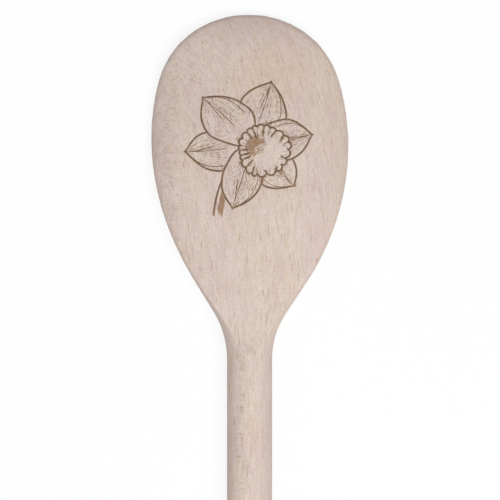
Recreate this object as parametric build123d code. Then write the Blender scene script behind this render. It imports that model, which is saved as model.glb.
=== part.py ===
from build123d import *
import os
from math import acos, asin, atan2, cos, degrees, radians, sin, sqrt

# Beech kitchen spoon with a daffodil burnt into the back of its bowl, lying face down.
# It is turned and shaped from one blank, so the bowl and the handle are one piece of wood.
# X runs across the bowl, Y runs along the spoon to the tip, Z is up.
# The origin is under the middle of the spoon's length, on the surface it rests on.
# All sizes are in millimetres and all turns in degrees.

# The whole spoon
spoon_length = 300.0
bowl_width = 62.0
handle_diameter = 14.1
handle_lift = 0.2

# Outline of the bowl, seen from above: arcs that run into each other
tip_inset = 1.3
flank_radius = 67.6
lower_flank_radius = 87.6
flank_turn = 8.0
taper_turn = 32.6
neck_radius = 26.8

# Back of the bowl, seen from the side
back_below_handle = 1.05
run_out_from_tip = 97.0
run_out_radius = 45.0
flat_back_from_tip = 70.0
back_radius = 300.0
nose_from_tip = 10.0
nose_radius = 30.0

# Back of the bowl, seen from its end
crown_radius = 140.0
crown_width = 40.0
shoulder_radius = 20.0

# Hollow in the front of the bowl
rim_at_side = 6.1
rim_at_tip = 5.0
hollow_length = 76.0
hollow_depth = 6.5

# Edges, sanded round or with the arris taken off
back_edge_round = 1.5
rim_edge_chamfer = 0.6
hollow_edge_round = 0.8
handle_end_round = 2.5
handle_dome_radius = 12.0

# Burnt lines: grooves with a skin of char on their floor
line_width = 0.45
groove_depth = 0.3
char_thickness = 0.15

# Daffodil: six petals round a frilled trumpet that leans to one side
flower_right = 0.7
flower_from_tip = 41.5
flower_turn = 12.0
petal_count = 6
petal_length = 20.6
petal_width = 13.0
trumpet_right = 3.4
trumpet_down = 1.2
trumpet_width = 15.6
frill_count = 9
throat_width = 6.2
stem_width = 2.8
stem_shade_width = 1.5
stem_radius = 34.0
stem_foot_left = 10.6
stem_foot_down = 22.2

# How far a cutting shape runs past what it cuts
overrun = 4.0

handle_radius = handle_diameter / 2
bowl_radius = bowl_width / 2
tip_radius = bowl_radius - tip_inset
tip_y = spoon_length / 2
axis_height = handle_radius + handle_lift
handle_axis = Axis((0, 0, axis_height), (0, 1, 0))
back_height = axis_height + handle_radius - back_below_handle


def turned_half_outline():
    """Half of the outline that the blank is turned to, closed along the handle's axis."""
    rise = sqrt((flank_radius - tip_radius) ** 2 - (flank_radius - bowl_radius) ** 2)
    tip_centre = (0, tip_y - tip_radius)
    flank_centre = (bowl_radius - flank_radius, tip_y - tip_radius - rise)
    tip_end_angle = degrees(atan2(rise, flank_radius - bowl_radius))
    tip_arc = CenterArc(tip_centre, tip_radius, 90, tip_end_angle - 90)
    flank_arc = CenterArc(flank_centre, flank_radius, tip_end_angle, -tip_end_angle - flank_turn)
    step_in = lower_flank_radius - flank_radius
    lower_centre = (
        flank_centre[0] - step_in * cos(radians(flank_turn)),
        flank_centre[1] + step_in * sin(radians(flank_turn)),
    )
    lower_arc = CenterArc(lower_centre, lower_flank_radius, -flank_turn, flank_turn - taper_turn)
    taper_start = lower_arc @ 1
    neck_start_x = handle_radius + neck_radius * (1 - cos(radians(taper_turn)))
    taper_length = (taper_start.X - neck_start_x) / sin(radians(taper_turn))
    neck_start_y = taper_start.Y - taper_length * cos(radians(taper_turn))
    neck_centre = (handle_radius + neck_radius, neck_start_y - neck_radius * sin(radians(taper_turn)))
    neck_arc = CenterArc(neck_centre, neck_radius, 180 - taper_turn, taper_turn)
    taper_line = Line(taper_start, neck_arc @ 0)
    handle_end_y = tip_y - spoon_length
    dome_centre_y = handle_end_y + handle_dome_radius
    corner_x = handle_radius - handle_end_round
    corner_turn = degrees(acos(corner_x / (handle_dome_radius - handle_end_round)))
    corner_y = dome_centre_y - (handle_dome_radius - handle_end_round) * sin(radians(corner_turn))
    corner_arc = CenterArc((corner_x, corner_y), handle_end_round, 0, -corner_turn)
    dome_arc = CenterArc((0, dome_centre_y), handle_dome_radius, -corner_turn, corner_turn - 90)
    handle_line = Line(neck_arc @ 1, corner_arc @ 0)
    axis_line = Line((0, handle_end_y), (0, tip_y))
    bowl_side = [tip_arc, flank_arc, lower_arc, taper_line, neck_arc]
    return make_face(bowl_side + [handle_line, corner_arc, dome_arc, axis_line])


def turned_blank():
    """The blank as it leaves the lathe: a round handle that swells into a round bulb."""
    return revolve(Pos(0, 0, axis_height) * turned_half_outline(), handle_axis, 360)


def slab_section():
    """End view of the slab that the back is shaped to: a crown between two shoulders."""
    crown_turn = degrees(asin(crown_width / 2 / crown_radius))
    crown_arc = CenterArc((0, back_height - crown_radius), crown_radius, 90 - crown_turn, 2 * crown_turn)
    crown_end = crown_arc @ 0
    shoulder_x = crown_end.X - shoulder_radius * sin(radians(crown_turn))
    shoulder_z = crown_end.Y - shoulder_radius * cos(radians(crown_turn))
    right_arc = CenterArc((shoulder_x, shoulder_z), shoulder_radius, 0, 90 - crown_turn)
    left_arc = CenterArc((-shoulder_x, shoulder_z), shoulder_radius, 90 + crown_turn, 90 - crown_turn)
    base = Line(left_arc @ 1, right_arc @ 0)
    section = make_face([right_arc, crown_arc, left_arc, base])
    return split(section, Plane.ZX.offset(-overrun))


def shaped_slab():
    """Everything below the finished back, from the handle's end to past the tip."""
    flat_end_y = tip_y - flat_back_from_tip
    run_out_y = tip_y - run_out_from_tip
    flat_end = Plane.XZ.offset(-flat_end_y) * slab_section()
    flat_part = extrude(flat_end, flat_end_y - run_out_y)

    back_turn = degrees(asin((flat_back_from_tip - nose_from_tip) / back_radius))
    back_axis = Axis((0, flat_end_y, back_height - back_radius), (-1, 0, 0))
    back_part = revolve(flat_end, back_axis, back_turn)

    to_nose = back_radius - nose_radius
    nose_axis_y = flat_end_y + to_nose * sin(radians(back_turn))
    nose_axis_z = back_height - back_radius + to_nose * cos(radians(back_turn))
    nose_axis = Axis((0, nose_axis_y, nose_axis_z), (-1, 0, 0))
    nose_turn = degrees(asin((tip_y + overrun - nose_axis_y) / nose_radius)) - back_turn
    nose_part = revolve(flat_end.rotate(back_axis, back_turn), nose_axis, nose_turn)

    run_out_rise = back_below_handle + overrun
    run_out_turn = degrees(acos(1 - run_out_rise / run_out_radius))
    run_out_axis = Axis((0, run_out_y, back_height + run_out_radius), (-1, 0, 0))
    run_out_start = Plane.XZ.offset(-run_out_y) * slab_section()
    run_out_part = revolve(run_out_start, run_out_axis, run_out_turn)

    handle_room_y = run_out_y - run_out_radius * sin(radians(run_out_turn))
    handle_room_size = spoon_length - tip_y + handle_room_y + overrun
    handle_room = Box(bowl_width, handle_room_size, bowl_width)
    handle_room = Pos(0, handle_room_y - handle_room_size / 2, 0) * handle_room
    return flat_part.fuse(back_part, nose_part, run_out_part, handle_room).clean()


def hollow_cutter():
    """A wheel standing along the bowl; its rounded rim cuts the dished hollow."""
    half_length = hollow_length / 2
    half_width = bowl_radius - rim_at_side
    length_radius = (half_length**2 + hollow_depth**2) / (2 * hollow_depth)
    width_radius = (half_width**2 + hollow_depth**2) / (2 * hollow_depth)
    middle_y = tip_y - rim_at_tip - half_length
    wheel = Rot(0, 90, 0) * Torus(length_radius - width_radius, width_radius)
    return Pos(0, middle_y, hollow_depth - length_radius) * wheel


def flat_rim(shaped):
    """The flat front face of the bowl, which the spoon rests on."""
    return shaped.faces().filter_by(GeomType.PLANE).sort_by(Axis.Z)[0]


def plain_spoon(slab):
    """The whole spoon in bare wood, with its edges sanded round."""
    front_room = Box(bowl_width + overrun, spoon_length + overrun, bowl_width)
    shaped = turned_blank() & slab & (Pos(0, 0, bowl_width / 2) * front_room)
    back_edges = shaped.edges().filter_by(GeomType.BSPLINE)
    back_edges = back_edges.filter_by(lambda edge: edge.center().Z > rim_edge_chamfer)
    shaped = fillet(back_edges, back_edge_round)
    rim_edges = flat_rim(shaped).edges()
    shaped = chamfer(rim_edges, rim_edge_chamfer)
    shaped = shaped - hollow_cutter()
    hollow_edge = flat_rim(shaped).inner_wires().edges()
    return fillet(hollow_edge, hollow_edge_round)


def petal(turn):
    """One pointed petal of the flower, from its middle outward."""
    far_side = ThreePointArc((0, 0), (petal_length / 2, petal_width / 2), (petal_length, 0))
    near_side = ThreePointArc((0, 0), (petal_length / 2, -petal_width / 2), (petal_length, 0))
    return Rot(0, 0, turn) * make_face([far_side, near_side])


def front_petals():
    """Every second petal, which overlaps the petals between them."""
    step = 360 / petal_count
    return [petal(flower_turn + 2 * step * k) for k in range(petal_count // 2)]


def back_petals():
    """The petals that show between the front ones."""
    step = 360 / petal_count
    return [petal(flower_turn + step + 2 * step * k) for k in range(petal_count // 2)]


def trumpet_mouth():
    """The frilled mouth of the trumpet."""
    frill_radius = trumpet_width / 2 * sin(radians(180 / frill_count))
    frill_circle = trumpet_width / 2 - frill_radius
    frills = PolarLocations(frill_circle, frill_count)
    mouth = Circle(frill_circle) + [place * Circle(frill_radius) for place in frills]
    return Pos(trumpet_right, -trumpet_down) * mouth


def outline_of(shape):
    """The burnt line that runs inside a shape's edge."""
    return shape - offset(shape, -line_width)


def petal_lines():
    """Outlines of all petals, where neither the trumpet nor another petal hides them."""
    front_lines = [outline_of(shape) for shape in front_petals()]
    back_lines = [outline_of(shape) - front_petals() for shape in back_petals()]
    return Sketch() + front_lines + back_lines - trumpet_mouth()


def trumpet_lines():
    """Outline of the frilled mouth, and the dark throat in its middle."""
    throat = Pos(trumpet_right, -trumpet_down) * Circle(throat_width / 2)
    return outline_of(trumpet_mouth()) + throat


def stem_lines():
    """Outline of the stem below the petals, with its shaded side filled in."""
    foot = (-stem_foot_left, -stem_foot_down)
    stem = trace(RadiusArc((0, 0), foot, stem_radius), stem_width)
    shade = stem - Pos(-stem_shade_width, 0) * stem
    return outline_of(stem) + shade - front_petals() - back_petals() - trumpet_mouth()


def slab_skin(slab, top, bottom):
    """The layer of the slab between two depths under its back."""
    return Pos(0, 0, -top) * slab - Pos(0, 0, -bottom) * slab


def burnt_prism(lines):
    """Burnt lines at their place on the bowl, run through from above down to mid height."""
    place = Pos(flower_right, tip_y - flower_from_tip, axis_height)
    return extrude(place * lines, handle_diameter)


slab = shaped_slab()
spoon = plain_spoon(slab)
groove_layer = slab_skin(slab, 0, groove_depth)
char_layer = slab_skin(slab, groove_depth - char_thickness, groove_depth)

os.makedirs("parts", exist_ok=True)
drawing = {"burnt_petals": petal_lines(), "burnt_trumpet": trumpet_lines(), "burnt_stem": stem_lines()}
for name, lines in drawing.items():
    prism = burnt_prism(lines)
    spoon = spoon - (prism & groove_layer)
    export_step(prism & char_layer, f"parts/{name}.step")
export_step(spoon, "parts/spoon.step")
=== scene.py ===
import math
import random
import bmesh
import bpy
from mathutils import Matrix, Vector
from mathutils.bvhtree import BVHTree
from mathutils.kdtree import KDTree


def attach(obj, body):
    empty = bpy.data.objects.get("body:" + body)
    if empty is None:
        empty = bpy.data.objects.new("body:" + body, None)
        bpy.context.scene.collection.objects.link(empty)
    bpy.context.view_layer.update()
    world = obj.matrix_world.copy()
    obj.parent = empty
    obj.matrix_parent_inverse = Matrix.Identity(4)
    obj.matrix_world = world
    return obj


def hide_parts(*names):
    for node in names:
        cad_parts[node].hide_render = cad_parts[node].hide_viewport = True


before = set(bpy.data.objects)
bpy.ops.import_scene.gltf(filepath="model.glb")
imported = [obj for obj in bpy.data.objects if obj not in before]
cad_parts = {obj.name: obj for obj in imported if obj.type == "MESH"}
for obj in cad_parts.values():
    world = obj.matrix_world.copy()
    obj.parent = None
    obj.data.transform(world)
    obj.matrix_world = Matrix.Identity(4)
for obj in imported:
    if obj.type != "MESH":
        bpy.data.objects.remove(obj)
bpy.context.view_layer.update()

# Spoon
# A kitchen spoon of bare beech in one piece, lying face down on the rim of its bowl.
# Handle and bulb are turned on a lathe. Then the back is shaped, a wheel cuts the hollow, the front is
# planed off flat and sandpaper takes the tool marks off.
tip_y = 0.150
handle_end_y = -0.150
handle_radius = 0.00705
bowl_radius = 0.031
axis_height = 0.00725
tip_radius = 0.0297
flank_radius = 0.0676
lower_flank_radius = 0.0876
flank_turn = math.radians(8.0)
taper_turn = math.radians(32.6)
neck_radius = 0.0268
handle_end_round = 0.0025
handle_dome_radius = 0.012
back_height = 0.01325
run_out_y = 0.053
run_out_radius = 0.045
run_out_rise = 0.00505
flat_end_y = 0.080
back_radius = 0.300
nose_from_tip = 0.010
nose_radius = 0.030
crown_radius = 0.140
crown_width = 0.040
shoulder_radius = 0.020
hollow_length = 0.076
hollow_width = 0.0498
hollow_depth = 0.0065
hollow_middle_y = 0.107
overrun = 0.004
below_rim = 0.040
plane_reach = 0.4
wood_cell = 0.00062
bowl_lean = 0.00053
tip_lean = -0.00033
lean_start_y = 0.045
lean_most_y = 0.072
lean_end_y = 0.145


def start_piece(name, place):
    """A new piece that is a single point, open in edit mode with the point selected."""
    bpy.ops.object.select_all(action="DESELECT")
    bpy.ops.mesh.primitive_plane_add(size=overrun, location=place)
    piece = bpy.context.object
    piece.name = name
    bpy.ops.object.mode_set(mode="EDIT")
    bpy.ops.mesh.merge(type="CENTER")
    return piece


def finish_piece(piece):
    """Leaves edit mode and puts the piece's place into its mesh."""
    bpy.ops.object.mode_set(mode="OBJECT")
    bpy.ops.object.select_all(action="DESELECT")
    piece.select_set(True)
    bpy.context.view_layer.objects.active = piece
    bpy.ops.object.transform_apply(location=True, rotation=True, scale=True)


def sweep(centre, turn, axis, step_length, radius):
    """Carries the selection along an arc, in steps of about one length; spin counts its angle clockwise."""
    steps = max(2, round(abs(turn) * radius / step_length))
    bpy.ops.mesh.spin(steps=steps, angle=-turn, center=centre, axis=axis)


def pull(distance):
    """Carries the selection along a straight line."""
    bpy.ops.mesh.extrude_region_move(TRANSFORM_OT_translate={"value": distance})


def pick(piece, test):
    """Selects the points of a piece in edit mode whose place passes a test."""
    bpy.ops.mesh.select_all(action="DESELECT")
    shape = bmesh.from_edit_mesh(piece.data)
    for point in shape.verts:
        point.select = test(piece.matrix_world @ point.co)
    shape.select_flush_mode()
    bmesh.update_edit_mesh(piece.data)


def use(piece, kind, **settings):
    """Adds one modifier to a piece and applies it."""
    modifier = piece.modifiers.new(kind, kind)
    for setting, value in settings.items():
        setattr(modifier, setting, value)
    bpy.ops.object.select_all(action="DESELECT")
    piece.select_set(True)
    bpy.context.view_layer.objects.active = piece
    bpy.ops.object.modifier_apply(modifier=modifier.name)


rise = math.sqrt((flank_radius - tip_radius) ** 2 - (flank_radius - bowl_radius) ** 2)
tip_turn = math.pi / 2 - math.atan2(rise, flank_radius - bowl_radius)
flank_centre = Vector((bowl_radius - flank_radius, tip_y - tip_radius - rise, axis_height))
inward = Vector((math.cos(flank_turn), -math.sin(flank_turn), 0))
lower_centre = flank_centre - (lower_flank_radius - flank_radius) * inward
outward = Vector((math.cos(taper_turn), -math.sin(taper_turn), 0))
taper_start = lower_centre + lower_flank_radius * outward
neck_side = handle_radius + neck_radius
taper_along = (taper_start.x - neck_side + neck_radius * math.cos(taper_turn)) / math.sin(taper_turn)
taper = Vector((-math.sin(taper_turn), -math.cos(taper_turn), 0)) * taper_along
neck_centre = taper_start + taper + neck_radius * outward
corner_x = handle_radius - handle_end_round
corner_turn = math.acos(corner_x / (handle_dome_radius - handle_end_round))
dome_y = handle_end_y + handle_dome_radius
corner_y = dome_y - (handle_dome_radius - handle_end_round) * math.sin(corner_turn)

fine_step = 0.0006
lathe_steps = 144
merge_gap = 0.000002
across_axis = (1, 0, 0)
along_axis = (0, 1, 0)
up_axis = (0, 0, 1)
spoon = start_piece("beech_spoon", (0, tip_y, axis_height))
sweep((0, tip_y - tip_radius, axis_height), -tip_turn, up_axis, fine_step, tip_radius)
sweep(flank_centre, tip_turn - math.pi / 2 - flank_turn, up_axis, fine_step, flank_radius)
sweep(lower_centre, flank_turn - taper_turn, up_axis, fine_step, lower_flank_radius)
pull(taper)
sweep(neck_centre, taper_turn, up_axis, fine_step, neck_radius)
pull((0, corner_y - neck_centre.y, 0))
sweep((corner_x, corner_y, axis_height), -corner_turn, up_axis, fine_step, handle_end_round)
sweep((0, dome_y, axis_height), corner_turn - math.pi / 2, up_axis, fine_step, handle_dome_radius)
bpy.ops.mesh.select_all(action="SELECT")
bpy.ops.mesh.spin(steps=lathe_steps, angle=2 * math.pi, center=(0, 0, axis_height), axis=along_axis)
bpy.ops.mesh.select_all(action="SELECT")
bpy.ops.mesh.remove_doubles(threshold=merge_gap)
bpy.ops.mesh.normals_make_consistent(inside=False)
finish_piece(spoon)

# the slab's crowned section, carried from the flat part towards the handle and then over the nose
crown_turn = math.asin(crown_width / 2 / crown_radius)
crown_centre_z = back_height - crown_radius
edge_z = crown_centre_z + crown_radius * math.cos(crown_turn)
shoulder_x = crown_width / 2 - shoulder_radius * math.sin(crown_turn)
shoulder_z = edge_z - shoulder_radius * math.cos(crown_turn)
shoulder_turn = crown_turn - math.pi / 2
section_step = 0.002
slab = start_piece("slab", (shoulder_x + shoulder_radius, flat_end_y, shoulder_z - back_height))
pull((0, 0, back_height))
sweep((shoulder_x, flat_end_y, shoulder_z), shoulder_turn, along_axis, section_step, shoulder_radius)
sweep((0, flat_end_y, crown_centre_z), -2 * crown_turn, along_axis, section_step, crown_radius)
sweep((-shoulder_x, flat_end_y, shoulder_z), shoulder_turn, along_axis, section_step, shoulder_radius)
pull((0, 0, -back_height))
bpy.ops.mesh.select_all(action="SELECT")
pull((0, run_out_y - flat_end_y, 0))
run_out_turn = math.acos(1 - run_out_rise / run_out_radius)
run_out_centre = (0, run_out_y, back_height + run_out_radius)
sweep(run_out_centre, -run_out_turn, across_axis, section_step, run_out_radius)
pull((0, handle_end_y - run_out_y, 0))
back_turn = math.asin((tip_y - flat_end_y - nose_from_tip) / back_radius)
nose_y = flat_end_y + (back_radius - nose_radius) * math.sin(back_turn)
nose_z = back_height - back_radius + (back_radius - nose_radius) * math.cos(back_turn)
nose_turn = math.asin((tip_y + overrun - nose_y) / nose_radius) - back_turn
pick(slab, lambda place: abs(place.y - flat_end_y) < fine_step)
sweep((0, flat_end_y, back_height - back_radius), -back_turn, across_axis, section_step, back_radius)
sweep((0, nose_y, nose_z), -nose_turn, across_axis, section_step, nose_radius)
# its edge is drawn down to a level under the rim and closed with one face
bpy.ops.mesh.select_all(action="SELECT")
bpy.ops.mesh.remove_doubles(threshold=merge_gap)
bpy.ops.mesh.select_mode(type="EDGE")
bpy.ops.mesh.select_all(action="DESELECT")
bpy.ops.mesh.select_non_manifold(extend=False)
pull((0, 0, -below_rim))
bpy.ops.transform.resize(value=(1, 1, 0), center_override=(0, 0, -below_rim))
bpy.ops.mesh.edge_face_add()
bpy.ops.mesh.select_mode(type="VERT")
bpy.ops.mesh.select_all(action="SELECT")
bpy.ops.mesh.normals_make_consistent(inside=False)
finish_piece(slab)

# the back takes the slab's shape, a wheel cuts the hollow and the front is planed off flat
turned_side = BVHTree.FromObject(spoon, bpy.context.evaluated_depsgraph_get())
shaped_back = BVHTree.FromObject(slab, bpy.context.evaluated_depsgraph_get())
use(spoon, "BOOLEAN", operation="INTERSECT", object=slab, solver="EXACT")
bpy.data.objects.remove(slab)
length_radius = ((hollow_length / 2) ** 2 + hollow_depth**2) / (2 * hollow_depth)
width_radius = ((hollow_width / 2) ** 2 + hollow_depth**2) / (2 * hollow_depth)
wheel_steps = 480
wheel_face_steps = 240
bpy.ops.object.select_all(action="DESELECT")
bpy.ops.mesh.primitive_torus_add(
    major_radius=length_radius - width_radius,
    minor_radius=width_radius,
    major_segments=wheel_steps,
    minor_segments=wheel_face_steps,
    location=(0, hollow_middle_y, hollow_depth - length_radius),
    rotation=(0, math.pi / 2, 0),
)
wheel = bpy.context.object
finish_piece(wheel)
hollow_face = BVHTree.FromObject(wheel, bpy.context.evaluated_depsgraph_get())
use(spoon, "BOOLEAN", operation="DIFFERENCE", object=wheel, solver="EXACT")
bpy.data.objects.remove(wheel)
bpy.ops.mesh.primitive_cube_add(size=plane_reach, location=(0, 0, -plane_reach / 2))
planed_off = bpy.context.object
finish_piece(planed_off)
use(spoon, "BOOLEAN", operation="DIFFERENCE", object=planed_off, solver="EXACT")
bpy.data.objects.remove(planed_off)

# the even mesh has the same faces each time only if the front doesn't lie exactly on the voxel grid
off_grid = Vector((0.00013, 0.00017, 0.00023))
spoon.location = off_grid
finish_piece(spoon)
use(spoon, "REMESH", mode="VOXEL", voxel_size=wood_cell)
spoon.location = -off_grid
finish_piece(spoon)

# sandpaper goes all over and then rounds the edges: the back's one less and less towards the neck
passes_all_over = 3
passes_beyond_y = ((0.078, 8), (0.064, 3))
passes_on_rim = 4
back_edge_reach = 0.0014
rim_edge_reach = 0.0007


def sand(passes):
    """Smooths the points that are selected in edit mode."""
    bpy.ops.mesh.vertices_smooth(factor=0.5, repeat=passes)


def close_to(tree, place, reach):
    """Whether a place is within reach of a surface."""
    return tree.find_nearest(place, reach)[0] is not None


bpy.ops.object.mode_set(mode="EDIT")
bpy.ops.mesh.select_all(action="SELECT")
sand(passes_all_over)
for edge_end_y, passes in passes_beyond_y:
    pick(
        spoon,
        lambda place: place.y > edge_end_y
        and close_to(turned_side, place, back_edge_reach)
        and close_to(shaped_back, place, back_edge_reach),
    )
    sand(passes)
pick(
    spoon,
    lambda place: place.z < rim_edge_reach
    and (close_to(turned_side, place, rim_edge_reach) or close_to(hollow_face, place, rim_edge_reach)),
)
sand(passes_on_rim)

# it hardly touches the two edges that the flat back leaves on the neck, so these stay crisp
neck_edges_foot_y = 0.040
neck_edges_fade_y = 0.055
neck_edges_top_y = 0.075
neck_edge_reach = 0.0010
over_back_z = 2 * back_height
down = Vector((0, 0, -1))


def glide(value, start, end):
    """Goes smoothly from 0 to 1 between two levels."""
    share = min(1, max(0, (value - start) / (end - start)))
    return share * share * (3 - 2 * share)


def at_neck_edge(place):
    """Whether a place lies by one of the two edges that the flat back leaves on the neck."""
    return (
        neck_edges_foot_y < place.y < neck_edges_top_y
        and place.z > axis_height
        and close_to(turned_side, place, neck_edge_reach)
        and close_to(shaped_back, place, neck_edge_reach)
    )


for _ in range(2):
    pick(spoon, at_neck_edge)
    bpy.ops.mesh.subdivide(number_cuts=1)
finish_piece(spoon)
for point in spoon.data.vertices:
    if at_neck_edge(point.co):
        above = Vector((point.co.x, point.co.y, over_back_z))
        tops = [tree.ray_cast(above, down)[0] for tree in (turned_side, shaped_back)]
        if all(tops):
            crisp = 1 - glide(point.co.y, neck_edges_fade_y, neck_edges_top_y)
            point.co.z += crisp * (min(top.z for top in tops) - point.co.z)
bpy.ops.object.mode_set(mode="EDIT")
pick(spoon, at_neck_edge)
sand(1)
finish_piece(spoon)
bpy.ops.object.shade_smooth()

# shaped by hand, the bowl is a little off the handle's line; the rim stands flat on the table
for point in spoon.data.vertices:
    point.co.x += bowl_lean * glide(point.co.y, lean_start_y, lean_most_y)
    point.co.x += (tip_lean - bowl_lean) * glide(point.co.y, lean_most_y, lean_end_y)
    point.co.z = max(point.co.z, 0)

# where the surface runs along the rays, they show as short bars across the grain
ray_tilt = math.radians(66)
bars_full = 0.06
bars_gone = 0.27
ray_direction = Vector((math.sin(ray_tilt), 0, math.cos(ray_tilt)))
quarter_sawn = spoon.data.attributes.new("quarter_sawn", "FLOAT", "POINT")
for point in spoon.data.vertices:
    across_rays = abs(point.normal.dot(ray_direction))
    quarter_sawn.data[point.index].value = 1 - glide(across_rays, bars_full, bars_gone)

# beech: pinkish and straw-coloured streaks along the grain, dark ray flecks, pores and a few brown marks
figure = bpy.data.node_groups.new("beech_figure", "ShaderNodeTree")
figure.interface.new_socket("Place", in_out="INPUT", socket_type="NodeSocketVector")
figure.interface.new_socket("Ray Strength", in_out="INPUT", socket_type="NodeSocketFloat")
figure.interface.new_socket("Streak Strength", in_out="INPUT", socket_type="NodeSocketFloat")
figure.interface.new_socket("Quarter Sawn", in_out="INPUT", socket_type="NodeSocketFloat")
figure.interface.new_socket("Color", in_out="OUTPUT", socket_type="NodeSocketColor")
figure.interface.new_socket("Roughness", in_out="OUTPUT", socket_type="NodeSocketFloat")
figure.interface.new_socket("Height", in_out="OUTPUT", socket_type="NodeSocketFloat")


def add_node(tree, kind, **settings):
    """A new node with its settings and its plain input values."""
    node = tree.nodes.new(kind)
    for setting, value in settings.items():
        if setting in node.inputs:
            node.inputs[setting].default_value = value
        else:
            setattr(node, setting, value)
    return node


def blend(tree, kind, amount, first, second):
    """Mixes two colours; each of the three may be a value or a socket."""
    node = add_node(tree, "ShaderNodeMix", data_type="RGBA", blend_type=kind)
    for socket, source in zip((node.inputs[0], node.inputs[6], node.inputs[7]), (amount, first, second)):
        if isinstance(source, bpy.types.NodeSocket):
            tree.links.new(source, socket)
        else:
            socket.default_value = source
    return node.outputs[2]


def ramp(tree, source, low, high, at_low=0.0, at_high=1.0):
    """A value that goes smoothly from one end to the other between two levels."""
    node = add_node(tree, "ShaderNodeMapRange", interpolation_type="SMOOTHSTEP")
    for name, value in zip(("From Min", "From Max", "To Min", "To Max"), (low, high, at_low, at_high)):
        node.inputs[name].default_value = value
    tree.links.new(source, node.inputs["Value"])
    return node.outputs["Result"]


def calculate(tree, kind, first, second):
    """One sum of two values or sockets."""
    node = add_node(tree, "ShaderNodeMath", operation=kind)
    for socket, source in zip(node.inputs, (first, second)):
        if isinstance(source, bpy.types.NodeSocket):
            tree.links.new(source, socket)
        else:
            socket.default_value = source
    return node.outputs[0]


figure_in = add_node(figure, "NodeGroupInput")
figure_out = add_node(figure, "NodeGroupOutput")
turned = add_node(figure, "ShaderNodeMapping", vector_type="TEXTURE")
turned.inputs["Rotation"].default_value = (0, ray_tilt, 0)
figure.links.new(figure_in.outputs["Place"], turned.inputs["Vector"])


def grain_space(tree, source, cell, shift):
    """Places measured in cells of the wood: across the rays, along the grain, along the rays."""
    node = add_node(tree, "ShaderNodeMapping")
    node.inputs["Scale"].default_value = tuple(1 / side for side in cell)
    node.inputs["Location"].default_value = shift
    tree.links.new(source, node.inputs["Vector"])
    return node.outputs["Vector"]


def noise(tree, source, cell, shift, detail, distortion=0.0):
    """Cloudy noise in cells of the wood."""
    node = add_node(tree, "ShaderNodeTexNoise", Scale=1.0, Detail=detail, Distortion=distortion)
    tree.links.new(grain_space(tree, source, cell, shift), node.inputs["Vector"])
    return node.outputs["Fac"]


fleck_core = 0.35


def flecks(tree, source, cell, shift, size, faintest, strongest):
    """Lens-shaped flecks, one to a cell, each of its own strength."""
    node = add_node(tree, "ShaderNodeTexVoronoi", Scale=1.0)
    tree.links.new(grain_space(tree, source, cell, shift), node.inputs["Vector"])
    lens = ramp(tree, node.outputs["Distance"], size, size * fleck_core)
    strength = add_node(tree, "ShaderNodeSeparateColor")
    tree.links.new(node.outputs["Color"], strength.inputs["Color"])
    return calculate(tree, "MULTIPLY", lens, ramp(tree, strength.outputs["Red"], faintest, strongest))


wood_place = turned.outputs["Vector"]
broad = noise(figure, wood_place, (0.0042, 0.042, 0.011), (3, 1, 7), 2.0, 0.3)
narrow = noise(figure, wood_place, (0.0005, 0.0075, 0.0030), (11, 5, 2), 3.0)
cloudy = noise(figure, wood_place, (0.010, 0.02, 0.014), (5, 8, 4), 2.0)
fibre = noise(figure, wood_place, (0.00014, 0.0026, 0.0011), (6, 2, 9), 2.0)
patches = noise(figure, wood_place, (0.0006, 0.0030, 0.0014), (2, 7, 8), 2.0)
pores = noise(figure, wood_place, (0.00011, 0.00048, 0.00028), (9, 4, 3), 1.0)
straw = (0.775, 0.648, 0.560, 1)
pink = (0.762, 0.620, 0.572, 1)
pale = (0.785, 0.673, 0.608, 1)
yellowed = (1.0, 0.965, 0.90, 1)
straw_patch = (1.0, 0.985, 0.91, 1)
pink_patch = (0.99, 0.96, 0.985, 1)
streak_brown = (0.89, 0.86, 0.83, 1)
fibre_brown = (0.84, 0.82, 0.81, 1)
pore_brown = (0.84, 0.82, 0.80, 1)
ray_brown = (0.69, 0.57, 0.49, 1)
bar_brown = (0.88, 0.79, 0.75, 1)
mark_brown = (0.78, 0.55, 0.42, 1)
place_in = figure_in.outputs["Place"]
rays_in = figure_in.outputs["Ray Strength"]
streaks_in = figure_in.outputs["Streak Strength"]
quarter_sawn_in = figure_in.outputs["Quarter Sawn"]
base = blend(figure, "MIX", ramp(figure, broad, 0.36, 0.64), straw, pink)
base = blend(figure, "MIX", ramp(figure, cloudy, 0.40, 0.66, 0.0, 0.65), base, pale)
# one yellowish patch lies right of the bowl's middle near the tip, its place given in its own reaches
yellow_reach = (0.021, 0.0131, 0.060)
yellow_place = grain_space(figure, place_in, yellow_reach, (-0.4, -10.0, 0))
yellow_away = add_node(figure, "ShaderNodeVectorMath", operation="LENGTH")
figure.links.new(yellow_place, yellow_away.inputs[0])
base = blend(figure, "MULTIPLY", ramp(figure, yellow_away.outputs["Value"], 1.0, 0.2), base, yellowed)
base = blend(figure, "MULTIPLY", ramp(figure, patches, 0.50, 0.70), base, straw_patch)
base = blend(figure, "MULTIPLY", ramp(figure, patches, 0.50, 0.30), base, pink_patch)
streak = calculate(figure, "MULTIPLY", ramp(figure, narrow, 0.42, 0.62), streaks_in)
base = blend(figure, "MULTIPLY", streak, base, streak_brown)
thread = calculate(figure, "MULTIPLY", ramp(figure, fibre, 0.35, 0.7), streaks_in)
base = blend(figure, "MULTIPLY", thread, base, fibre_brown)
base = blend(figure, "MULTIPLY", ramp(figure, pores, 0.46, 0.66), base, pore_brown)
rays = calculate(
    figure,
    "MAXIMUM",
    flecks(figure, wood_place, (0.00026, 0.0078, 0.0022), (2, 4, 1), 0.27, 0.25, 0.85),
    flecks(figure, wood_place, (0.00034, 0.0100, 0.0026), (7, 9, 3), 0.25, 0.25, 0.85),
)
rays = calculate(figure, "MULTIPLY", rays, rays_in)
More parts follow.
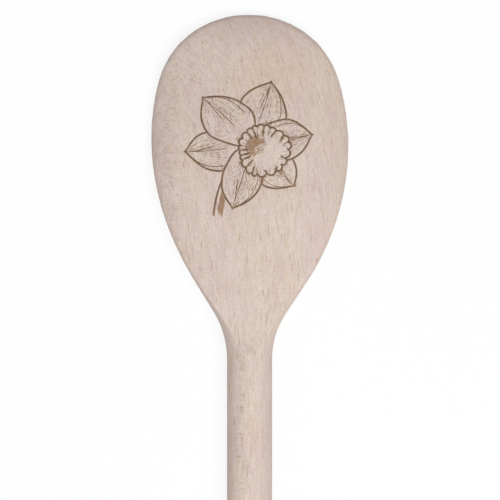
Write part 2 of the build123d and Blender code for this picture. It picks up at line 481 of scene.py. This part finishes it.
rays = calculate(figure, "MULTIPLY", rays, ramp(figure, quarter_sawn_in, 0.0, 1.0, 1.0, 0.45))
base = blend(figure, "MULTIPLY", rays, base, ray_brown)
bars = flecks(figure, wood_place, (0.0034, 0.0012, 0.0048), (4, 2, 8), 0.42, 0.0, 0.8)
bars = calculate(figure, "MULTIPLY", bars, quarter_sawn_in)
base = blend(figure, "MULTIPLY", bars, base, bar_brown)
brown_marks = flecks(figure, wood_place, (0.0020, 0.012, 0.0050), (1, 6, 5), 0.115, 0.55, 0.95)
base = blend(figure, "MULTIPLY", brown_marks, base, mark_brown)
figure.links.new(base, figure_out.inputs["Color"])
figure.links.new(ramp(figure, narrow, 0.3, 0.7, 0.58, 0.68), figure_out.inputs["Roughness"])
figure.links.new(calculate(figure, "SUBTRACT", fibre, rays), figure_out.inputs["Height"])

ray_strength = 0.8
streak_strength = 0.5
toast_brown = (0.50, 0.36, 0.25, 1)
beech = bpy.data.materials.new("beech")
beech.use_nodes = True
wood = beech.node_tree
surface = wood.nodes["Principled BSDF"]
surface.inputs["Specular IOR Level"].default_value = 0.35
object_place = add_node(wood, "ShaderNodeTexCoord")
beech_figure = add_node(wood, "ShaderNodeGroup", node_tree=figure)
beech_figure.inputs["Ray Strength"].default_value = ray_strength
beech_figure.inputs["Streak Strength"].default_value = streak_strength
wood.links.new(object_place.outputs["Object"], beech_figure.inputs["Place"])
quarter_mark = add_node(wood, "ShaderNodeAttribute", attribute_name="quarter_sawn")
wood.links.new(quarter_mark.outputs["Fac"], beech_figure.inputs["Quarter Sawn"])
scorch_mark = add_node(wood, "ShaderNodeAttribute", attribute_name="scorch")
toasted = blend(wood, "MULTIPLY", scorch_mark.outputs["Fac"], beech_figure.outputs["Color"], toast_brown)
wood.links.new(toasted, surface.inputs["Base Color"])
wood.links.new(beech_figure.outputs["Roughness"], surface.inputs["Roughness"])
relief = add_node(wood, "ShaderNodeBump", Strength=0.35, Distance=0.00006)
wood.links.new(beech_figure.outputs["Height"], relief.inputs["Height"])
wood.links.new(relief.outputs["Normal"], surface.inputs["Normal"])
spoon.data.materials.clear()
spoon.data.materials.append(beech)
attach(spoon, "root")
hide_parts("spoon")

# Burnt petals
# The outlines, folds and fine hatching of a daffodil's six petals, scorched into the bare wood with a
# hot point. Each stroke is a thin lens of char. The bolder ones lie in grooves that the point has sunk
# into the bowl's back.
flower_middle = Vector((0.0007, 0.1085, 0))
stroke_step = 0.00028
line_half_width = 0.00019
thin_half_width = 0.00013
fine_half_width = 0.00007
fill_half_width = 0.00019
bold_heat = 1.0
thin_heat = 0.85
fine_heat = 0.80
fill_heat = 0.46
groove_depth = 0.00016
groove_wall = 0.00022
toast_reach = 0.00035
cut_reaches = ((0.0010, wood_cell), (0.0006, wood_cell / 2))
char_under_back = 0.00007
fill_under_back = 0.00002
fine_over_back = 0.00001
char_half_height = 0.00006
char_flatness = char_half_height / line_half_width
cap_merge_gap = 0.000001
thinning_steps = 5
end_width = 0.45
side_heat = 0.75
crest_reach = 0.8
facing_up = 0.5
halved_above = 0.6
burn_points = (3, 7)
drawing_hand = random.Random(11)
bowl_back = BVHTree.FromObject(spoon, bpy.context.evaluated_depsgraph_get())


def back_height_at(x, y):
    """Height of the bowl's finished back over a point of the table."""
    return bowl_back.ray_cast(Vector((x, y, over_back_z)), down)[0].z


def turned_to(place, turn):
    """A place of the drawing, turned about the flower's middle."""
    return Vector((
        place[0] * math.cos(turn) - place[1] * math.sin(turn),
        place[0] * math.sin(turn) + place[1] * math.cos(turn),
    ))


def inside(place, outline):
    """Whether a place lies inside a closed outline."""
    odd = False
    for one, other in zip(outline, outline[1:] + outline[:1]):
        if (one.y > place.y) != (other.y > place.y):
            crossing = one.x + (place.y - one.y) * (other.x - one.x) / (other.y - one.y)
            odd ^= place.x < crossing
    return odd


def uncovered(stroke, covers):
    """The runs of a stroke that nothing drawn in front of it hides."""
    runs = [[]]
    for place in stroke:
        if any(inside(place, cover) for cover in covers):
            runs.append([])
        else:
            runs[-1].append(place)
    return [run for run in runs if len(run) > 2]


def dotted(strokes):
    """Breaks strokes into the short burns of a light hand."""
    burns = []
    for stroke in strokes:
        place = drawing_hand.randint(0, 2)
        while place < len(stroke) - 2:
            length = drawing_hand.randint(*burn_points)
            burns.append(stroke[place:place + length])
            place += length + drawing_hand.randint(1, 2)
    return [burn for burn in burns if len(burn) > 2]


def draw(name, strokes, half_width, heat, raised, roundness=1):
    """Lays strokes on the bowl as lenses of char that thin out at their ends; roundness 0 has few faces."""
    curve = bpy.data.curves.new(name, "CURVE")
    curve.dimensions = "3D"
    curve.bevel_depth = 1.0
    curve.bevel_resolution = roundness
    curve.use_fill_caps = True
    for stroke in strokes:
        spline = curve.splines.new("POLY")
        spline.points.add(len(stroke) - 1)
        wander = drawing_hand.uniform(0, 2 * math.pi)
        for count, place in enumerate(stroke):
            to_end = min(count, len(stroke) - 1 - count) / thinning_steps
            width = half_width * min(1, end_width + (1 - end_width) * to_end)
            slow_wave = 0.20 * math.sin(0.13 * count + wander)
            quick_wave = 0.10 * math.sin(0.47 * count + 2 * wander)
            width *= 1 + slow_wave + quick_wave
            spline.points[count].co = (place.x, place.y, 0, 1)
            spline.points[count].radius = width
    piece = bpy.data.objects.new(name, curve)
    bpy.context.scene.collection.objects.link(piece)
    bpy.ops.object.select_all(action="DESELECT")
    piece.select_set(True)
    bpy.context.view_layer.objects.active = piece
    bpy.ops.object.convert(target="MESH")
    piece = bpy.context.object
    bpy.ops.object.mode_set(mode="EDIT")
    bpy.ops.mesh.select_all(action="SELECT")
    bpy.ops.mesh.remove_doubles(threshold=cap_merge_gap)
    bpy.ops.mesh.delete_loose()
    bpy.ops.mesh.select_all(action="SELECT")
    bpy.ops.mesh.normals_make_consistent(inside=False)
    bpy.ops.object.mode_set(mode="OBJECT")
    marks = piece.data.attributes.new("scorch", "FLOAT", "POINT")
    for point in piece.data.vertices:
        x, y = point.co.x + flower_middle.x, point.co.y + flower_middle.y
        crest = min(1, abs(point.co.z) / (crest_reach * half_width))
        marks.data[point.index].value = heat * (side_heat + (1 - side_heat) * crest)
        point.co = (x, y, back_height_at(x, y) + raised + char_flatness * point.co.z)
    return piece


def groove(strokes):
    """Sinks a groove into the spoon's back along bold strokes, on faces cut small enough to show it."""
    places = [place for stroke in strokes for place in stroke]
    near = KDTree(len(places))
    for count, place in enumerate(places):
        near.insert((place.x + flower_middle.x, place.y + flower_middle.y, 0), count)
    near.balance()

    def away(co):
        """How far a point is from the strokes, seen from above."""
        return near.find((co.x, co.y, 0))[2]

    bpy.ops.object.select_all(action="DESELECT")
    spoon.select_set(True)
    bpy.context.view_layer.objects.active = spoon
    bpy.ops.object.mode_set(mode="EDIT")
    bpy.ops.mesh.select_mode(type="FACE")
    for reach, cell in cut_reaches:
        bpy.ops.mesh.select_all(action="DESELECT")
        shape = bmesh.from_edit_mesh(spoon.data)
        for face in shape.faces:
            size = max(edge.calc_length() for edge in face.edges)
            middle = face.calc_center_median()
            if face.normal.z > facing_up and size > halved_above * cell and away(middle) < reach:
                face.select = True
        bmesh.update_edit_mesh(spoon.data)
        bpy.ops.mesh.subdivide(number_cuts=1)
    bpy.ops.mesh.select_mode(type="VERT")
    bpy.ops.object.mode_set(mode="OBJECT")
    marks = spoon.data.attributes.get("scorch") or spoon.data.attributes.new("scorch", "FLOAT", "POINT")
    for point in spoon.data.vertices:
        beside = away(point.co) - line_half_width
        if point.co.z > axis_height and beside < toast_reach:
            wall = min(1, max(0, 1 - beside / groove_wall))
            point.co.z -= groove_depth * wall**2 * (3 - 2 * wall)
            toast = min(1, 1 - beside / toast_reach)
            marks.data[point.index].value = max(marks.data[point.index].value, toast**2)


def joined(name, pieces):
    """Several pieces made one."""
    bpy.ops.object.select_all(action="DESELECT")
    for piece in pieces:
        piece.select_set(True)
    bpy.context.view_layer.objects.active = pieces[0]
    bpy.ops.object.join()
    pieces[0].name = name
    return pieces[0]


# each petal: turn, length, width, sideways bend, edge wave, side that is rolled in
front_petals = (
    (14, 0.0192, 0.0118, -0.07, 0.6, 1),
    (131, 0.0214, 0.0134, 0.07, 2.4, -1),
    (250, 0.0206, 0.0120, 0.06, 4.1, 1),
)
back_petals = (
    (74, 0.0208, 0.0138, -0.03, 1.4, -1),
    (188, 0.0210, 0.0124, -0.05, 3.3, 1),
    (314, 0.0184, 0.0122, 0.06, 5.2, -1),
)
widest_late = 1.05
fullness = 0.66
point_length = 0.07
edge_reach = 1.05
edge_waviness = 0.075
edge_crinkle = 0.012
middle_sway = 0.014


def on_petal(petal, along_share, across_share):
    """A place on a petal: 0 to 1 from its middle to its tip, and -1 to 1 from edge to edge."""
    turn, length, width, bend, wave = petal[:5]
    swell = math.sin(math.pi * along_share**widest_late) ** fullness if along_share < 1 else 0
    point = 1 - math.exp((along_share - 1) / point_length)
    edge_wave = edge_waviness * math.sin(6.5 * along_share + wave + 2 * across_share)
    edge_wave += edge_crinkle * math.sin(19 * along_share + 2 * wave * across_share)
    sideways = across_share * width / 2 * swell * point * (edge_reach + edge_wave)
    sideways += bend * length * along_share**2
    sideways += middle_sway * length * math.sin(6 * along_share + wave)
    return turned_to((along_share * length, sideways), math.radians(turn))


def petal_stroke(petal, start, end, across_start, across_end):
    """A stroke along a petal."""
    length = petal[1]
    steps = max(4, round(abs(end - start) * length / stroke_step))
    shares = [step / steps for step in range(steps + 1)]
    return [
        on_petal(petal, start + share * (end - start), across_start + share * (across_end - across_start))
        for share in shares
    ]


def petal_outline(petal):
    """The closed outline of a petal."""
    return petal_stroke(petal, 0, 1, 1, 1) + petal_stroke(petal, 1, 0, -1, -1)


mouth_middle = Vector((0.0034, -0.0012))
mouth_radius = 0.0084
flare_turn = math.radians(-48)
narrowest_lobe = 0.17
widest_lobe = 0.40
last_lobe = 0.5
deepest_notch = 0.16
notch_per_lobe = 0.42
notches = [0]
while notches[-1] < 2 * math.pi - last_lobe:
    notches.append(notches[-1] + drawing_hand.uniform(narrowest_lobe, widest_lobe))


def on_mouth(turn, share):
    """A place on the trumpet: 0 at its middle to 1 on its frilled edge."""
    turn %= 2 * math.pi
    lobe = sum(notch <= turn for notch in notches) - 1
    lobe_turn = (notches + [2 * math.pi])[lobe + 1] - notches[lobe]
    bulge = abs(math.sin(math.pi * (turn - notches[lobe]) / lobe_turn)) ** 0.5
    notch_depth = min(deepest_notch, notch_per_lobe * lobe_turn)
    edge = mouth_radius * (1 - notch_depth * (1 - bulge))
    flared = 0.07 * math.cos(turn - flare_turn)
    slow_wave = 0.04 * math.sin(3 * turn + 1)
    quick_wave = 0.02 * math.sin(5 * turn)
    edge *= 0.97 + flared + slow_wave + quick_wave
    return mouth_middle + share * edge * Vector((math.cos(turn), math.sin(turn)))


mouth_steps = 360
mouth_outline = [on_mouth(2 * math.pi * step / mouth_steps, 1) for step in range(mouth_steps)]
long_hatches = 36
middle_hatches = 16
tip_hatches = 12
rolled_hatches = 20
rolled_hatch_length = 0.03
hatches_close_in = 0.8
bold_strokes = []
thin_strokes = []
fine_strokes = []
for petals, covers in (
    (front_petals, [mouth_outline]),
    (back_petals, [mouth_outline] + [petal_outline(petal) for petal in front_petals]),
):
    for petal in petals:
        rolled = petal[5]
        for side in (1, -1):
            bold_strokes += uncovered(petal_stroke(petal, 0.04, 1, side, side), covers)
        # the rolled edge, the fold along the middle and a shorter one beside it
        for fold in (
            (0.42, 0.97, 0.74 * rolled, 0.88 * rolled),
            (0.35, 0.93, 0.05, -0.03),
            (0.55, 0.99, -0.18 * rolled, 0),
        ):
            thin_strokes += uncovered(petal_stroke(petal, *fold), covers)
        # hatching: from edge to edge, closer in the middle, at the tip and across the rolled edge
        for count in range(long_hatches):
            across = -0.85 + 1.7 * (count + drawing_hand.uniform(0.1, 0.9)) / long_hatches
            start = drawing_hand.uniform(0.28, 0.58)
            end = min(0.95, start + drawing_hand.uniform(0.10, 0.36))
            drift = across * drawing_hand.uniform(0.85, 1.1)
            fine_strokes += uncovered(petal_stroke(petal, start, end, across, drift), covers)
        for _ in range(middle_hatches):
            across = drawing_hand.uniform(-0.35, 0.3)
            start = drawing_hand.uniform(0.45, 0.7)
            end = min(0.96, start + drawing_hand.uniform(0.12, 0.3))
            hatch = petal_stroke(petal, start, end, across, across * hatches_close_in)
            fine_strokes += uncovered(hatch, covers)
        for _ in range(tip_hatches):
            across = drawing_hand.uniform(-0.7, 0.7)
            end = drawing_hand.uniform(0.88, 0.97)
            start = end - drawing_hand.uniform(0.06, 0.2)
            hatch = petal_stroke(petal, start, end, across, across * hatches_close_in)
            fine_strokes += uncovered(hatch, covers)
        for _ in range(rolled_hatches):
            start = 0.35 + 0.55 * drawing_hand.random()
            hatch = petal_stroke(petal, start, start + rolled_hatch_length, 0.80 * rolled, 0.95 * rolled)
            fine_strokes += uncovered(hatch, covers)
groove(bold_strokes)
petals_piece = joined("burnt_petal_lines", [
    draw("bold_petal_strokes", bold_strokes, line_half_width, bold_heat, -char_under_back),
    draw("thin_petal_strokes", thin_strokes, thin_half_width, thin_heat, 0),
    draw("fine_petal_strokes", dotted(fine_strokes), fine_half_width, fine_heat, fine_over_back,
         roundness=0),
])

# scorched beech: the same wood, browned more the hotter the point was
light_char = (0.36, 0.215, 0.125, 1)
dark_char = (0.158, 0.103, 0.062, 1)
light_char_heat = 0.45
burnt_beech = bpy.data.materials.new("burnt_beech")
burnt_beech.use_nodes = True
burnt = burnt_beech.node_tree
char_surface = burnt.nodes["Principled BSDF"]
char_surface.inputs["Specular IOR Level"].default_value = 0.25
char_place = add_node(burnt, "ShaderNodeTexCoord")
char_figure = add_node(burnt, "ShaderNodeGroup", node_tree=figure)
char_figure.inputs["Ray Strength"].default_value = ray_strength
char_figure.inputs["Streak Strength"].default_value = streak_strength
burnt.links.new(char_place.outputs["Object"], char_figure.inputs["Place"])
heat_mark = add_node(burnt, "ShaderNodeAttribute", attribute_name="scorch")
patchy = noise(burnt, char_place.outputs["Object"], (0.0006, 0.0011, 0.0006), (1, 2, 3), 3.0)
hot = calculate(burnt, "MULTIPLY", heat_mark.outputs["Fac"], ramp(burnt, patchy, 0.3, 0.7, 0.72, 1.08))
browned = ramp(burnt, hot, 0.0, light_char_heat)
charred = ramp(burnt, hot, light_char_heat, 1.0)
scorched = blend(burnt, "MIX", browned, char_figure.outputs["Color"], light_char)
scorched = blend(burnt, "MIX", charred, scorched, dark_char)
burnt.links.new(scorched, char_surface.inputs["Base Color"])
burnt.links.new(ramp(burnt, hot, 0.0, 1.0, 0.62, 0.8), char_surface.inputs["Roughness"])
char_relief = add_node(burnt, "ShaderNodeBump", Strength=0.4, Distance=0.00008)
burnt.links.new(patchy, char_relief.inputs["Height"])
burnt.links.new(char_relief.outputs["Normal"], char_surface.inputs["Normal"])


def finish_char(piece, node):
    """Finishes a burnt piece: its material, the body it rides on and the node it stands for."""
    finish_piece(piece)
    bpy.ops.object.shade_smooth()
    piece.data.materials.clear()
    piece.data.materials.append(burnt_beech)
    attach(piece, "root")
    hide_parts(node)


finish_char(petals_piece, "burnt_petals")

# Burnt trumpet
# The frilled mouth of the flower's trumpet: its edge, the pleats that run into it and the dark throat
# with its stamens. Burnt with the same point, the throat by many strokes side by side.
throat_middle = mouth_middle + Vector((-0.0016, 0.0006))
throat_radius = 0.0034
stamen_middle = throat_middle + Vector((0.0008, -0.0006))
stamen_ring = 0.0010
stamen_count = 6
first_stamen_turn = 20
stamen_half_width = 0.00036
stamen_half_length = 1.4 * stamen_half_width
stamen_steps = 14
pistil_steps = 12
fill_step = 0.00026
pleat_steps = 14
pleat_end = 0.97
bold_pleat_share = 0.6
frill_lines = 6
frill_line_steps = 8
flare = Vector((math.cos(flare_turn), math.sin(flare_turn)))
beside_flare = Vector((-flare.y, flare.x))


def ring(middle, across, upright, turn, steps):
    """A closed oval stroke."""
    stroke = []
    for step in range(steps + 1):
        angle = 2 * math.pi * step / steps
        stroke.append(middle + turned_to((across * math.cos(angle), upright * math.sin(angle)), turn))
    return stroke


stamens = []
for count in range(stamen_count):
    turn = math.radians(360 / stamen_count * count + first_stamen_turn)
    middle = stamen_middle + turned_to((stamen_ring, 0), turn)
    stamens.append(ring(middle, stamen_half_length, stamen_half_width, turn, stamen_steps))
pistil = ring(stamen_middle, stamen_half_width, stamen_half_width, 0, pistil_steps)
edge_strokes = [mouth_outline + mouth_outline[:1]]
pleats = []
thin_strokes = []
fine_strokes = []
for notch, next_notch in zip(notches, notches[1:] + [2 * math.pi]):
    away_from_flare = (1 - math.cos(notch - flare_turn)) / 2
    start = 0.86 - 0.40 * away_from_flare + drawing_hand.uniform(-0.06, 0.06)
    sway = drawing_hand.uniform(-0.12, 0.12)
    pleat = [
        on_mouth(notch + sway * (1 - step / pleat_steps), start + (pleat_end - start) * step / pleat_steps)
        for step in range(pleat_steps + 1)
    ]
    same_weight = pleats if drawing_hand.random() < bold_pleat_share else thin_strokes
    same_weight.append(pleat)
    for _ in range(frill_lines):
        turn = notch + (next_notch - notch) * drawing_hand.uniform(0.15, 0.85)
        start = drawing_hand.uniform(0.45, 0.66) + 0.16 * (1 - away_from_flare)
        length = drawing_hand.uniform(0.10, 0.26)
        fine_strokes.append([
            on_mouth(turn, start + length * step / frill_line_steps) for step in range(frill_line_steps + 1)
        ])

# the throat is browned by strokes side by side, up to the stamens; so are the hollows that the frill shades
throat_lines = 19
uneven_reach = (0.86, 1.12)
shaded_turns = (12, 78, 150, 205, 262, 300)
shade_lines = 7
shade_line_turn = 2.2
shade_line_steps = 6
shade_start = 1.03
throat_fill = []
for count in range(throat_lines):
    along_flare = -throat_radius + count * fill_step
    half_chord = math.sqrt(max(0, throat_radius**2 - along_flare**2))
    start = -half_chord * drawing_hand.uniform(*uneven_reach)
    end = half_chord * drawing_hand.uniform(*uneven_reach)
    steps = max(3, round((end - start) / stroke_step))
    stroke = [
        throat_middle + along_flare * flare + (start + (end - start) * step / steps) * beside_flare
        for step in range(steps + 1)
    ]
    throat_fill += uncovered(stroke, stamens + [pistil])
for shaded_turn in shaded_turns:
    for count in range(shade_lines):
        turn = math.radians(shaded_turn + shade_line_turn * count)
        bulge = math.sin(math.pi * (count + 0.5) / shade_lines)
        shade_end = shade_start + 0.20 * bulge * drawing_hand.uniform(0.7, 1.1)
        throat_fill.append([
            on_mouth(turn, shade_start + (shade_end - shade_start) * step / shade_line_steps)
            for step in range(shade_line_steps + 1)
        ])
throat_edge_radius = 1.03 * throat_radius
throat_edge_steps = 40
throat_edge = [
    throat_middle + turned_to((throat_edge_radius, 0), math.radians(80 + 150 * step / throat_edge_steps))
    for step in range(throat_edge_steps + 1)
]
groove(edge_strokes + pleats)
trumpet_piece = joined("burnt_trumpet_lines", [
    draw("trumpet_edge_strokes", edge_strokes + pleats, line_half_width, bold_heat, -char_under_back),
    draw("thin_trumpet_strokes", thin_strokes + [throat_edge], thin_half_width, thin_heat, 0),
    draw("throat_strokes", throat_fill, fill_half_width, fill_heat, -fill_under_back),
    draw("stamen_strokes", stamens + [pistil], fine_half_width, thin_heat, 2 * fine_over_back,
         roundness=0),
    draw("fine_trumpet_strokes", dotted(fine_strokes), fine_half_width, fine_heat, fine_over_back,
         roundness=0),
])
finish_char(trumpet_piece, "burnt_trumpet")

# Burnt stem
# The short piece of stem that shows below the petals, scorched with the same point: two edges and a
# browned shadow along its right side.
stem_radius = 0.034
stem_foot = Vector((-0.0106, -0.0222))
stem_half_width = 0.0014
stem_steps = 90
stem_shade_lines = 7


def on_stem(share, aside):
    """A place on the stem: 0 at the flower to 1 at its foot, and so far to the right of its middle."""
    sag = stem_radius - math.sqrt(stem_radius**2 - (stem_foot.length / 2) ** 2)
    right = Vector((-stem_foot.y, stem_foot.x)).normalized()
    bow = sag * (1 - (2 * share - 1) ** 2)
    return stem_foot * share + right * (aside - bow)


petal_covers = [mouth_outline] + [petal_outline(petal) for petal in front_petals + back_petals]


def stem_line(aside, steps):
    """What shows of a line down the stem, so far to the right of its middle."""
    return uncovered([on_stem(step / stem_steps, aside) for step in range(steps)], petal_covers)


stem_edges = stem_line(-stem_half_width, stem_steps + 1)
shaded_edge = stem_line(stem_half_width, stem_steps)
stem_shade = []
for count in range(stem_shade_lines):
    stem_shade += stem_line(stem_half_width - count * fill_step, stem_steps - drawing_hand.randint(0, 3))
groove(stem_edges)
stem_piece = joined("burnt_stem_lines", [
    draw("stem_edge_strokes", stem_edges, line_half_width, bold_heat, -char_under_back),
    draw("shaded_edge_strokes", shaded_edge, thin_half_width, 0.7 * thin_heat, fine_over_back),
    draw("stem_shade_strokes", stem_shade, fill_half_width, fill_heat, -fill_under_back),
])
finish_char(stem_piece, "burnt_stem")

# Floor, light and camera
# A plain white table under the spoon, with large soft lamps over it.
# The camera looks straight down on the back of the bowl.
floor_size = 6.0
table_pale = 0.80
own_light = 0.86
sky_strength = 0.235
lamp_aim = Vector((0, 0.08, 0))
bpy.ops.object.select_all(action="DESELECT")
bpy.ops.mesh.primitive_plane_add(size=floor_size, location=(0, 0, 0))
floor = bpy.context.object
floor.name = "floor"
finish_piece(floor)
white = bpy.data.materials.new("white_table")
white.use_nodes = True
table = white.node_tree
top = table.nodes["Principled BSDF"]
top.inputs["Roughness"].default_value = 0.9
bright = add_node(table, "ShaderNodeEmission", Color=(1, 1, 1, 1), Strength=1.0)
seen = add_node(table, "ShaderNodeLightPath")
seen_share = calculate(table, "MAXIMUM", seen.outputs["Is Camera Ray"], seen.outputs["Is Glossy Ray"])
table.links.new(ramp(table, seen_share, 0, 1, table_pale, 1.0), top.inputs["Base Color"])
seen_share = calculate(table, "MULTIPLY", seen_share, own_light)
mixed = add_node(table, "ShaderNodeMixShader")
table.links.new(seen_share, mixed.inputs["Fac"])
table.links.new(top.outputs["BSDF"], mixed.inputs[1])
table.links.new(bright.outputs["Emission"], mixed.inputs[2])
table.links.new(mixed.outputs["Shader"], table.nodes["Material Output"].inputs["Surface"])
floor.data.materials.append(white)


def lamp(name, place, size, power):
    """A square soft lamp that points at the lower half of the bowl."""
    light = bpy.data.lights.new(name, "AREA")
    light.size = size
    light.energy = power
    holder = bpy.data.objects.new(name, light)
    bpy.context.scene.collection.objects.link(holder)
    holder.location = place
    aim = lamp_aim - Vector(place)
    holder.rotation_euler = aim.to_track_quat("-Z", "Y").to_euler()


lamp("key_lamp", place=(0.34, -0.49, 1.31), size=0.9, power=17.0)
lamp("fill_lamp", place=(-0.8, 0.5, 1.2), size=1.2, power=2.4)
sky = bpy.data.worlds.new("studio")
sky.use_nodes = True
air = sky.node_tree
air.nodes["Background"].inputs["Color"].default_value = (1, 1, 1, 1)
sky_seen = add_node(air, "ShaderNodeLightPath")
sky_share = calculate(air, "MAXIMUM", sky_seen.outputs["Is Camera Ray"], sky_seen.outputs["Is Glossy Ray"])
air.links.new(ramp(air, sky_share, 0, 1, sky_strength, 1), air.nodes["Background"].inputs["Strength"])
bpy.context.scene.world = sky

view_middle = (0.00013, 0.0760)
view_width = 0.1556
camera_data = bpy.data.cameras.new("camera")
camera_data.lens = 300
camera = bpy.data.objects.new("camera", camera_data)
bpy.context.scene.collection.objects.link(camera)
camera_height = axis_height + view_width * camera_data.lens / camera_data.sensor_width
camera.location = (*view_middle, camera_height)
bpy.context.scene.camera = camera
bpy.context.scene.view_settings.view_transform = "Standard"
